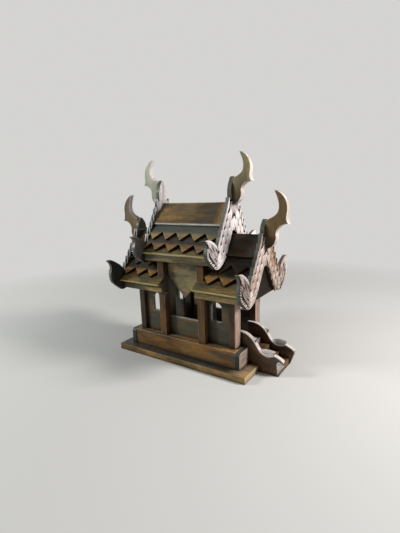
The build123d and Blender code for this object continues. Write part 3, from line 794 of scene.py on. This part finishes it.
def add_rib(bm, line, base_x, radii, flat, sides=8):
    """Add a rounded rib that follows a line on the face, with its radii shared out along it.

    flat is how far it stands out, against its half width.
    """
    count = len(line)
    grid = bmesh.ops.create_grid(bm, x_segments=sides, y_segments=count - 1, size=1.0)
    for v in grid["verts"]:
        angle = math.pi * v.co.x
        k = round((v.co.y + 1) / 2 * (count - 1))
        before, after = line[max(k - 1, 0)], line[min(k + 1, count - 1)]
        ahead = (after - before).normalized()
        share = k / (count - 1) * (len(radii) - 1)
        i = min(int(share), len(radii) - 2)
        radius = radii[i] + (radii[i + 1] - radii[i]) * (share - i)
        across = radius * math.sin(angle)
        v.co = (base_x + flat * radius * math.cos(angle),
                line[k].x - ahead.y * across, line[k].y + ahead.x * across)
    bmesh.ops.remove_doubles(bm, verts=grid["verts"], dist=MERGE_DISTANCE)
    bmesh.ops.holes_fill(bm, edges=[e for e in bm.edges if e.is_boundary])


def along_line(line, share):
    """The point at a share of a line's length, counted in its points."""
    place = min(max(share, 0.0), 1.0) * (len(line) - 1)
    k = min(int(place), len(line) - 2)
    return line[k].lerp(line[k + 1], place - k)


def part_between(first, second, share, start, stop, count):
    """Part of the line that lies a share of the way between two lines, in so many steps."""
    places = [start + (stop - start) * k / count for k in range(count + 1)]
    return [along_line(first, t).lerp(along_line(second, t), share) for t in places]


def carve_peak(bm, gable, carving, base_x):
    """Add the flutes under the horn and the scales where the two legs meet."""
    rise = carving.ground_depth
    top = gable.seat.y
    for k in range(FLUTE_COUNT):
        tip = Vector((FLUTE_PITCH * k, top - (FLUTE_DROP[0] + FLUTE_DROP[1] * k) * MM))
        add_leaf(bm, FLAME_WIDTHS, tip, *FLUTE_SIZE, FLUTE_LEAN * k, base_x, rise, sink=0.5)
    for y, drop, lean in PEAK_SCALES:
        add_leaf(bm, SCALE_WIDTHS, Vector((y, top - drop)), carving.scale_length,
                 carving.scale_width, lean, base_x, rise)


def carve_leg(bm, gable, carving, base_x, rng):
    """Add the flames on the leg's outer edge and the columns of scales beside them."""
    tips, step = gable.flame_tips(carving.flame_count)
    down = step.normalized()
    inward = Vector((down.y, -down.x))
    rise = carving.ground_depth
    leg_lean = math.degrees(math.atan2(down.x, -down.y))
    for tip in tips:
        add_leaf(bm, FLAME_WIDTHS, tip + Vector((0.2 * MM, -0.6 * MM)), *FLAME_SIZE, 0.16 * leg_lean,
                 base_x, rise, bend=3.0 * MM, sink=0.5)
    outer_run = (gable.foot - gable.seat).length
    width = (gable.inner_peak - gable.seat).dot(inward) - BOTH_MARGINS
    for column, distance in enumerate((OUTER_MARGIN + 0.25 * width, OUTER_MARGIN + 0.75 * width)):
        start = (0.15 + 0.5 * column) * carving.scale_pitch
        count = int((outer_run + SCALE_OVERRUN - start) / carving.scale_pitch) + 1
        for k in range(count):
            tip = gable.seat + down * (start + k * carving.scale_pitch) + inward * distance
            if tip.x < SCALE_CLEARANCE[0] or tip.y > gable.seat.y - SCALE_CLEARANCE[1]:
                continue
            add_leaf(bm, SCALE_WIDTHS, tip, carving.scale_length * rng.uniform(0.96, 1.04),
                     carving.scale_width * rng.uniform(0.95, 1.02), 0.55 * leg_lean + rng.uniform(-3, 3),
                     base_x, rise * rng.uniform(0.94, 1.0))


def carve_hook(bm, gable, carving, base_x, rng):
    """Add the flowing streaks, the smooth crest, the comb on the belly and the borders of one hook."""
    outer, lower, inner = [gable.hook_line(edge) for edge in (HOOK_BELLY, HOOK_UNDER, HOOK_CREST)]
    rim = lower[::-1] + outer[::-1][1:]
    crest = [inner[0]] * len(lower) + inner

    def rib(share, start, stop, count, lift, radii, flat):
        """A rib on part of the line a share of the way in from the rim."""
        line = part_between(rim, crest, share, start, stop, count)
        add_rib(bm, line, base_x + lift, radii, flat=flat)

    for share in BED_SHARES:
        rib(share, 0.02, 0.90, 20, 0, (1.5 * MM, 4.5 * MM, 5 * MM, 4 * MM, 0.5 * MM), 0.46)
    for k in range(carving.streak_count):
        share = STREAK_SHARES[0] + STREAK_SHARES[1] * k / (carving.streak_count - 1)
        start = rng.uniform(0.02, 0.16)
        while start < 0.86:
            stop = min(start + rng.uniform(0.20, 0.34), 0.95)
            radius = rng.uniform(1.2, 1.7) * MM
            rib(share, start, stop, 12, 1.6 * MM, (0, radius, radius * 1.1, 0.7 * radius, 0), 1.6)
            start = stop + rng.uniform(0.0, 0.05)
    rib(BAND_SHARE, 0.42, 0.985, 20, 0.6 * MM, (0, 3.4 * MM, 4.4 * MM, 3.6 * MM, 0.8 * MM), 0.85)
    for k in range(COMB_COUNT):
        place = COMB_START + COMB_RUN * k / COMB_COUNT
        root = part_between(rim, crest, 0.02, place, place + 0.04, 1)
        ahead = (root[1] - root[0]).normalized()
        inward = Vector((-ahead.y, ahead.x))
        slant = (inward * 0.8 - ahead * rng.uniform(0.45, 0.75)).normalized()
        line = [root[0] + slant * d * MM for d in (-0.6, 3.0, 7.0, rng.uniform(11.0, 14.0))]
        add_rib(bm, line, base_x + 1.5 * MM, (1.5 * MM, 2.0 * MM, 1.6 * MM, 0), flat=1.4, sides=6)
    radius = carving.border_radius
    rib(RIM_SHARE, 0.0, 0.37, 16, 0.8 * MM, (radius, radius, radius, 0.4 * radius), 1.3)
    for share in BORDER_SHARES:
        rib(share, 0.02, 0.36, 16, 0.4 * MM, (0.5 * radius, radius, radius, 0), 1.3)
    peak = gable.inner_peak + Vector((0.0, 3.2 * MM))
    elbow = gable.elbow + Vector((0.2 * MM, 3.4 * MM))
    line = [peak.lerp(elbow, k / 6) for k in range(7)]
    add_rib(bm, line, base_x + 0.8 * MM, (radius, radius), flat=1.3)


def carve_bargeboard(node, materials, carving):
    """Make one bargeboard: the flamed outline, its scales, its hooks and its borders."""
    gable = Gable(node)
    base_x = gable.face_x - carving.ground_depth
    outline = gable.outline(carving.flame_count, carving.flame_free)
    bm = extruded_outline(outline, gable.inner_x, base_x)
    for face in bm.faces:
        face.material_index = int(face.normal.x < -0.9)
    rng = random.Random(7)
    relief = bmesh.new()
    carve_peak(relief, gable, carving, base_x)
    carve_leg(relief, gable, carving, base_x, rng)
    carve_hook(relief, gable, carving, base_x, rng)
    join_copy(bm, relief)
    bmesh.ops.scale(relief, verts=relief.verts, vec=(1, -1, 1))
    join_copy(bm, relief)
    relief.free()
    if gable.hand < 0:
        bmesh.ops.scale(bm, verts=bm.verts, vec=(-1, 1, 1))
    finished(bm, "carved_" + node, materials, [node])


# The back's painted shade, and how far under the top it ends and the peak's own colour begins
BACK_SHADE = (0.024, 0.026, 0.026)
PEAK_FADE = (34 * MM, 24 * MM)


class SPIRITHOUSE_OT_bargeboards(bpy.types.Operator):
    """Carve the four bargeboards"""
    bl_idname = "spirit_house.bargeboards"
    bl_label = "Bargeboards"

    def execute(self, context):
        carving = context.scene.spirit_house_carving
        wood = context.scene.spirit_house_wood
        # inner is the colour of the back near the peak; on the main roof it is pale, as painted light
        for place, offset, pale, gold, back_gold, reach, veins, inner in (
                ("main", 19.0, wood.pale_carving, 0.15, 0.25, 0.72, 0.5, (0.46, 0.42, 0.41)),
                ("wing", 23.0, (0.52, 0.46, 0.45), 0.5, 1.0, 0.60, 0.7, (0.060, 0.052, 0.050))):
            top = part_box(place + "_bargeboard_right")[1]
            material = carved_teak(place + "_carving", top.x, offset, pale, gold, back_gold, reach, veins)
            back = teak(place + "_carving_back", "Z", offset + 1, inner, gold=0.15, sheen_share=0.1,
                        edge=wood.side_wax_and_sheen,
                        foot=(BACK_SHADE, 0.1, top.z - PEAK_FADE[0], top.z - PEAK_FADE[1]))
            for end in ("left", "right"):
                carve_bargeboard(place + "_bargeboard_" + end, [material, back], carving)
        return {"FINISHED"}


# Where a leaf starts to narrow, as a share of its height, and how full it stays up to its point
LEAF_SHOULDER = 0.35
LEAF_FULLNESS = 1.8
# How far up a horn its foot's colour ends, and the share of its height where its own begins
HORN_FOOT = 8 * MM
HORN_CHANGE = 0.42
# How far over its seat a leaf's edges start to be rounded
SEAT_CLEARANCE = 1 * MM
# How far a horn's edge has to look to the right to be its hollow or its breast
HORN_FACING = 0.45


def horn_side(face):
    """0 or 1 for the cheeks of the left or right horn, and 2 or 3 for its edge that looks right."""
    return int(face.calc_center_median().x > 0) + (2 if face.normal.x > HORN_FACING else 0)


def leaf_side(face):
    """0 for a leaf's edge and left face, and 1 or 2 for the right face of the left or right leaf."""
    if face.normal.x < FACING:
        return 0
    return 1 if face.calc_center_median().x < 0 else 2


def seat_height(place):
    """How high the top of a roof's bargeboards is, where the horns and leaves stand."""
    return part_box(place + "_bargeboard_right")[1].z


def point_leaves(bm, node):
    """Stand the leaves on their boards and draw their tops in to a point."""
    low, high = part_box(node)
    shoulder = low.z + LEAF_SHOULDER * (high.z - low.z)
    for v in bm.verts:
        v.co.z = max(v.co.z, seat_height(node.split("_")[0]))
        if v.co.z > shoulder:
            up = (v.co.z - shoulder) / (high.z - shoulder)
            half = high.y * (1 - up ** LEAF_FULLNESS)
            v.co.y = max(-half, min(half, v.co.y))


class SPIRITHOUSE_OT_finials(bpy.types.Operator):
    """Round the horns and the leaves behind them"""
    bl_idname = "spirit_house.finials"
    bl_label = "Horns and leaves"

    def execute(self, context):
        wood = context.scene.spirit_house_wood
        # Each horn's colour, its foot's colour and its gold, then the colours of the horns' hollow side,
        # of their worn wood and of the left leaf's face. The right horns are darker than the left ones as
        # painted shade, and the hollow side and the left leaf's face are pale as painted light
        for place, left, right, hollow, worn, inner in (
                ("main", (wood.finial_wood, (0.33, 0.37, 0.31), 0.2),
                 ((0.17, 0.135, 0.062), (0.045, 0.022, 0.012), 0.8),
                 (0.60, 0.54, 0.50), (0.40, 0.33, 0.16), (0.48, 0.44, 0.43)),
                ("wing", ((0.085, 0.060, 0.040), (0.060, 0.040, 0.026), 0.8),
                 ((0.13, 0.085, 0.034), (0.042, 0.018, 0.009), 0.8),
                 (0.17, 0.17, 0.18), (0.26, 0.16, 0.06), (0.040, 0.038, 0.042))):
            low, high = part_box(place + "_chofas")
            fade = (low.z + HORN_FOOT, low.z + HORN_CHANGE * (high.z - low.z))
            horn = [teak(place + "_horn_teak_" + end, "Z", offset, light, gold=gold, sheen_share=0.1,
                         edge=(0.62, 0.57, 0.50), foot=(foot_light, 0.2, *fade), worn=worn)
                    for end, offset, (light, foot_light, gold) in (
                        ("left", 29.0, left), ("right", 30.0, right))]
            # Painted light: the horns' edges that look right, the hollow and the breast, are pale
            horn += [teak(place + "_horn_teak_hollow", "Z", 35.0, hollow, gold=0.1, sheen_share=0.1,
                          edge=(0.66, 0.62, 0.58)),
                     teak(place + "_horn_teak_lit_breast", "Z", 36.0, (0.64, 0.56, 0.50), gold=0.1,
                          sheen_share=0.0, edge=(0.72, 0.66, 0.62))]
            dress([place + "_chofas"], horn, wood.horn_arris, 3, choose=horn_side)
            leaf = [teak(place + "_leaf_teak", "Z", 31.0, (0.105, 0.110, 0.090), gold=0.15, sheen_share=0.6,
                         edge=(0.32, 0.34, 0.28)),
                    # Painted light and shade: the left leaf's right face is pale, and the right leaf's
                    # right face dark as if in its horn's shadow
                    teak(place + "_leaf_teak_left", "Z", 33.0, inner, gold=0.1, sheen_share=0.05,
                         edge=(0.60, 0.56, 0.53)),
                    teak(place + "_leaf_teak_right", "Z", 34.0, (0.050, 0.028, 0.015), gold=0.2,
                         edge=(0.24, 0.15, 0.09))]
            dress([place + "_gable_leaves"], leaf, wood.horn_arris, 3,
                  choose=leaf_side, reshape=point_leaves, above=seat_height(place) + SEAT_CLEARANCE)
        return {"FINISHED"}


# ------------------------------------------------------------------ stair

# The stringer's upper edge in millimetres out from the plinth's end and up from the floor: first its
# two arrises, then the ridge between them, which stands up in a spur and a petal
STRINGER_EDGE = (
    ((-17, 40), (-17, 40)), ((-9, 38.2), (-9, 38.2)), ((0, 33.7), (0, 33.7)), ((7, 28.5), (8, 28.5)),
    ((12, 24), (15, 29)), ((16, 19.5), (23, 28)), ((19, 15), (22, 20)), ((22, 10.5), (22.5, 12)),
    ((25, 6), (26, 5)), ((31.6, -3.4), (31.6, -2)), ((38, -8.4), (37, -0.5)), ((47, -12.9), (45, 2.3)),
    ((56, -14), (55.5, 3.2)), ((64, -12), (66, 2.9)), ((69, -10.3), (76.5, 1.5)), ((72, -9.3), (74, -5.5)),
    ((75, -8.8), (75, -8.8)), ((81, -11), (81, -11)), ((88, -14), (88, -14)), ((95, -18), (95, -18)),
    ((99, -22), (99, -22)),
)
# The toe's outer edge in the same measure, and how far from the plinth's end it stands on its foot
STRINGER_TOE = ((98.6, -28), (96, -38), (91, -52))
TOE_FOOT = 86 * MM
# The leaf on the toe, which hangs: its widths, its tip's place in the same measure, its length and
# width, its lean in degrees, and how far it stands proud
TOE_WIDTHS = ((0.0, 0.02), (0.80, 1.0), (1.0, 0.60))
TOE_TIP = Vector((83.4, -61))
TOE_SIZE = (38 * MM, 18 * MM)
TOE_LEAN = 168
TOE_RISE = 2.4 * MM
# The bead along a stringer's upper edge: its radii, and how far under the edge it lies
BEAD_RADII = (1.3 * MM, 1.7 * MM, 1.7 * MM, 1.3 * MM)
BEAD_DROP = Vector((0, -1.0 * MM))


def make_stringers(materials, arris):
    """Make the two curved sides of the stair, with a spur, a petal, edge beads and a toe leaf."""
    low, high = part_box("stair_stringers")
    end = Vector((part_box("plinth_end_right")[1].x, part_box("floor_board")[1].z))
    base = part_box("base_board")[1]
    outer_y, inner_y = high.y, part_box("stair_treads")[1].y
    corners = [(end.x + TOE_FOOT, low.z), (base.x, low.z), (base.x, base.z), (end.x, base.z),
               (end.x, end.y), (low.x, end.y), (low.x, high.z)]
    arrises, ridge = [[end + Vector(pair[k]) * MM for pair in STRINGER_EDGE] for k in (0, 1)]
    rest = [end + Vector(point) * MM for point in STRINGER_TOE] + [Vector(corner) for corner in corners]
    bm = bmesh.new()
    face = bm.faces.new([bm.verts.new((p.x, -outer_y, p.y)) for p in arrises + rest])
    shift = [r - a for a, r in zip(arrises, ridge)] + [Vector((0, 0))] * len(rest)
    # In from the outer arris to the ridge, and on to the inner arris
    for way in (1, -1):
        loop = list(face.verts)
        behind = face
        grown = bmesh.ops.extrude_face_region(bm, geom=[face])["geom"]
        face = next(f for f in grown if isinstance(f, bmesh.types.BMFace))
        bmesh.ops.translate(bm, verts=face.verts, vec=(0, (outer_y - inner_y) / 2, 0))
        for v in face.verts:
            k = min(range(len(shift)), key=lambda i: (loop[i].co.xz - v.co.xz).length)
            v.co.x, v.co.z = v.co.x + way * shift[k].x, v.co.z + way * shift[k].y
    bmesh.ops.delete(bm, geom=[behind], context="FACES_ONLY")
    bmesh.ops.recalc_face_normals(bm, faces=bm.faces)
    bmesh.ops.dissolve_limit(bm, angle_limit=FLAT_ANGLE, verts=bm.verts, edges=bm.edges)
    soften(bm, 0.7 * arris)
    # Faces that look up get the pale top: rubbed wood, with a painted highlight
    for face in bm.faces:
        face.material_index = int(face.normal.z > 0.2)
    line = smooth_line([p + BEAD_DROP for p in arrises], 2)
    for out, hand in ((outer_y, 1), (-inner_y, -1)):
        relief = bmesh.new()
        add_rib(relief, [Vector((hand * p.x, p.y)) for p in line], out - 0.4 * MM, BEAD_RADII, flat=0.8)
        if hand > 0:
            add_leaf(relief, TOE_WIDTHS, end + TOE_TIP * MM, *TOE_SIZE, TOE_LEAN,
                     outer_y - 1 * MM, TOE_RISE, sink=0.1)
        # The beads and the toe leaf are pale as well: rubbed wood, with a painted highlight
        for face in relief.faces:
            face.material_index = 1
        bmesh.ops.rotate(relief, verts=relief.verts, cent=(0, 0, 0),
                         matrix=Matrix.Rotation(math.radians(-90 * hand), 3, "Z"))
        join_copy(bm, relief)
        relief.free()
    mirrored = bm.copy()
    bmesh.ops.scale(mirrored, verts=mirrored.verts, vec=(1, -1, 1))
    join_copy(bm, mirrored)
    mirrored.free()
    finished(bm, "worn_stair_stringers", materials, ["stair_stringers"])


class SPIRITHOUSE_OT_stair(bpy.types.Operator):
    """Dress the stair's stringers and steps"""
    bl_idname = "spirit_house.stair"
    bl_label = "Stair"

    def execute(self, context):
        wood = context.scene.spirit_house_wood
        stair = teak("stair_teak", "X", 37.0, (0.060, 0.034, 0.022), gold=0.4, edge=(0.30, 0.22, 0.17))
        # The pale top is partly rubbed wood and partly a painted highlight
        rubbed_lit_top = teak("stair_teak_rubbed_lit_top", "X", 39.0, (0.64, 0.57, 0.54), gold=0.05, sheen_share=0.05,
                          edge=(0.74, 0.68, 0.65), corner_shade=0.3)
        dress(["stair_treads"], [stair], wood.board_arris)
        make_stringers([stair, rubbed_lit_top], wood.board_arris)
        return {"FINISHED"}


# ------------------------------------------------------------------ stage

# The camera's place and turn, its sensor and lens in millimetres, and its shift, as a share
CAMERA_PLACE = Vector((0.585, -0.836, 0.470))
CAMERA_YAW = math.radians(33.75)
CAMERA_PITCH = math.radians(12.55)
CAMERA_ROLL = math.radians(-1.79)
SENSOR = 36.0
LENS = 23.58574
LENS_SHIFT = (-0.008912, 0.011445)
STAGE_RADIUS = 6.0
# How far from the object the floor starts to fade into the backdrop, and is gone
FLOOR_FADE = (0.55, 1.6)
LAMP_AIM = (0.0, 0.0, 0.28)


def add_lamp(name, place, size, power, colour):
    """A round area lamp that points at the object."""
    data = bpy.data.lights.new(name, "AREA")
    data.shape = "DISK"
    data.size = size
    data.energy = power
    data.color = colour
    lamp = bpy.data.objects.new(name, data)
    lamp.location = place
    lamp.rotation_euler = (Vector(LAMP_AIM) - Vector(place)).to_track_quat("-Z", "Y").to_euler()
    bpy.context.scene.collection.objects.link(lamp)


def seen_directly(tree):
    """1 for rays that show the background: the camera's, and those a gloss or a glass sends on."""
    path = tree.nodes.new("ShaderNodeLightPath").outputs
    gloss = add_node(tree, "ShaderNodeMath", {
        0: path["Is Camera Ray"], 1: path["Is Glossy Ray"]}, operation="MAXIMUM").outputs[0]
    return add_node(tree, "ShaderNodeMath", {
        0: gloss, 1: path["Is Transmission Ray"]}, operation="MAXIMUM").outputs[0]


def backdrop_light(tree, colour, room_light):
    """World light: pale where it is seen, and an even dim light on everything else."""
    straight = add_node(tree, "ShaderNodeBackground", {"Color": (*colour, 1.0), "Strength": 1.0})
    even = add_node(tree, "ShaderNodeBackground", {
        "Color": (0.93, 0.96, 1.0, 1.0), "Strength": room_light})
    mix = add_node(tree, "ShaderNodeMixShader", {
        0: seen_directly(tree), 1: even.outputs[0], 2: straight.outputs[0]})
    tree.links.new(mix.outputs[0], tree.nodes["World Output"].inputs["Surface"])


def floor_material(settings):
    """A plain matt floor that fades into the backdrop far from the object."""
    material, tree, shader, place = new_material("pale_floor")
    shader.inputs["Roughness"].default_value = 0.9
    shader.inputs["Specular IOR Level"].default_value = 0.1
    shader.inputs["Base Color"].default_value = (*settings.floor_colour, 1.0)
    away = add_node(tree, "ShaderNodeVectorMath", {0: place}, operation="LENGTH").outputs["Value"]
    glow = add_node(tree, "ShaderNodeEmission", {
        "Color": (*settings.backdrop_colour, 1.0), "Strength": 1.0})
    mix = add_node(tree, "ShaderNodeMixShader", {
        0: multiplied(tree, ranged(tree, away, *FLOOR_FADE), seen_directly(tree)),
        1: shader.outputs[0], 2: glow.outputs[0]})
    tree.links.new(mix.outputs[0], tree.nodes["Material Output"].inputs["Surface"])
    return material


def add_camera(scene):
    """The camera, turned to the object and rolled a little."""
    data = bpy.data.cameras.new("camera")
    data.sensor_fit = "AUTO"
    data.sensor_width = SENSOR
    data.lens = LENS
    data.shift_x, data.shift_y = LENS_SHIFT
    data.clip_start = 0.02
    camera = bpy.data.objects.new("camera", data)
    scene.collection.objects.link(camera)
    camera.matrix_world = (
        Matrix.Translation(CAMERA_PLACE) @ Matrix.Rotation(CAMERA_YAW, 4, "Z")
        @ Matrix.Rotation(math.pi / 2 - CAMERA_PITCH, 4, "X") @ Matrix.Rotation(CAMERA_ROLL, 4, "Z"))
    scene.camera = camera


class SPIRITHOUSE_OT_stage(bpy.types.Operator):
    """Set the pale floor, the soft lamps and the camera"""
    bl_idname = "spirit_house.stage"
    bl_label = "Stage"

    def execute(self, context):
        settings = context.scene.spirit_house_stage
        bm = bmesh.new()
        bmesh.ops.create_circle(bm, cap_ends=True, segments=96, radius=STAGE_RADIUS)
        mesh = bpy.data.meshes.new("floor")
        bm.to_mesh(mesh)
        bm.free()
        mesh.materials.append(floor_material(settings))
        floor = bpy.data.objects.new("floor", mesh)
        context.scene.collection.objects.link(floor)

        world = bpy.data.worlds.new("studio")
        world.use_nodes = True
        context.scene.world = world
        backdrop_light(world.node_tree, settings.backdrop_colour, settings.room_light)
        add_lamp("key_lamp", (1.62, 0.42, 1.22), 0.5, settings.key_power, (1.0, 0.965, 0.94))
        add_lamp("fill_lamp", (-1.5, -1.25, 1.15), 0.55, settings.fill_power, (0.96, 1.0, 0.97))
        add_lamp("top_lamp", (-0.2, -0.2, 2.0), 1.4, settings.top_power, (1.0, 1.0, 1.0))
        add_camera(context.scene)
        context.scene.view_settings.view_transform = "Standard"
        return {"FINISHED"}


# ------------------------------------------------------------------ add-on

PIECE_OPERATORS = (
    SPIRITHOUSE_OT_base, SPIRITHOUSE_OT_posts, SPIRITHOUSE_OT_walls, SPIRITHOUSE_OT_roofs,
    SPIRITHOUSE_OT_beams, SPIRITHOUSE_OT_bargeboards, SPIRITHOUSE_OT_finials, SPIRITHOUSE_OT_stair,
    SPIRITHOUSE_OT_stage,
)


class SPIRITHOUSE_PT_sidebar(bpy.types.Panel):
    """The pieces of the spirit house and their settings"""
    bl_idname = "SPIRITHOUSE_PT_sidebar"
    bl_label = "Spirit House"
    bl_space_type = "VIEW_3D"
    bl_region_type = "UI"
    bl_category = "Spirit House"

    def draw(self, context):
        layout = self.layout
        for settings in (context.scene.spirit_house_wood, context.scene.spirit_house_carving,
                         context.scene.spirit_house_stage):
            box = layout.box()
            for name in settings.bl_rna.properties.keys():
                if name not in ("rna_type", "name"):
                    box.prop(settings, name)
        for operator in PIECE_OPERATORS:
            layout.operator(operator.bl_idname)


CLASSES = (WoodSettings, CarvingSettings, StageSettings, *PIECE_OPERATORS, SPIRITHOUSE_PT_sidebar)


def register():
    for cls in CLASSES:
        bpy.utils.register_class(cls)
    bpy.types.Scene.spirit_house_wood = bpy.props.PointerProperty(type=WoodSettings)
    bpy.types.Scene.spirit_house_carving = bpy.props.PointerProperty(type=CarvingSettings)
    bpy.types.Scene.spirit_house_stage = bpy.props.PointerProperty(type=StageSettings)


def unregister():
    del bpy.types.Scene.spirit_house_wood
    del bpy.types.Scene.spirit_house_carving
    del bpy.types.Scene.spirit_house_stage
    for cls in reversed(CLASSES):
        bpy.utils.unregister_class(cls)


def main():
    register()
    bpy.ops.spirit_house.base()
    bpy.ops.spirit_house.posts()
    bpy.ops.spirit_house.walls()
    bpy.ops.spirit_house.roofs()
    bpy.ops.spirit_house.beams()
    bpy.ops.spirit_house.bargeboards()
    bpy.ops.spirit_house.finials()
    bpy.ops.spirit_house.stair()
    bpy.ops.spirit_house.stage()


if __name__ == "__main__":
    main()
